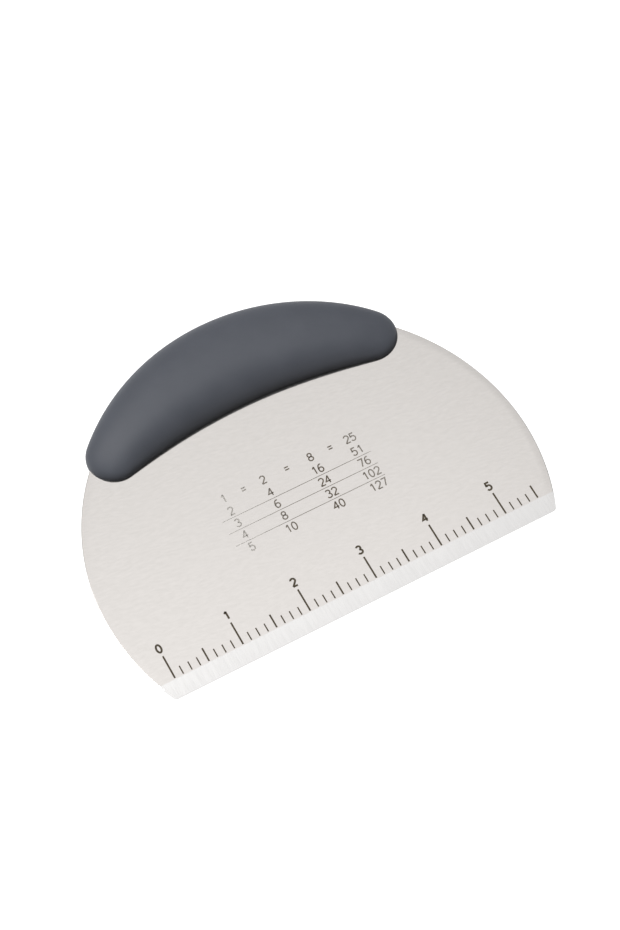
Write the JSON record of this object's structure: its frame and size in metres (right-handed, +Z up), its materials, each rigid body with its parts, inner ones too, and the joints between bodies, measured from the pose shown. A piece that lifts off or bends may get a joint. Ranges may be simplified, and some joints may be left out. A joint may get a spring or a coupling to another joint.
{
  "type": "dough cutter",
  "caption": "Dough cutter with a round-backed steel blade, a straight ground cutting edge with a ruler above it, and a soft crescent grip along the back.",
  "frame": {"origin": "on the table that the cutter lies on, under the middle of its box", "axes": "+X along the cutting edge, from the ruler's zero to its other end; +Y from the edge towards the grip; +Z up from the table, on the side of the ruler"},
  "size_m": [0.162, 0.1198, 0.0245],
  "materials": {
    "blade_steel": "satin, brushed along the edge",
    "core_plastic": "moulded",
    "rivet_metal": "plain",
    "grip_rubber": "soft-touch matte",
    "laser_mark": "dark laser mark on steel"
  },
  "bodies": {
    "root": {"blade": "blade_steel", "core_front": "core_plastic", "core_rear": "core_plastic", "tang_rivet_left": "rivet_metal", "tang_rivet_middle": "rivet_metal", "tang_rivet_right": "rivet_metal", "soft_grip": "grip_rubber"}
  },
  "joints": []
}
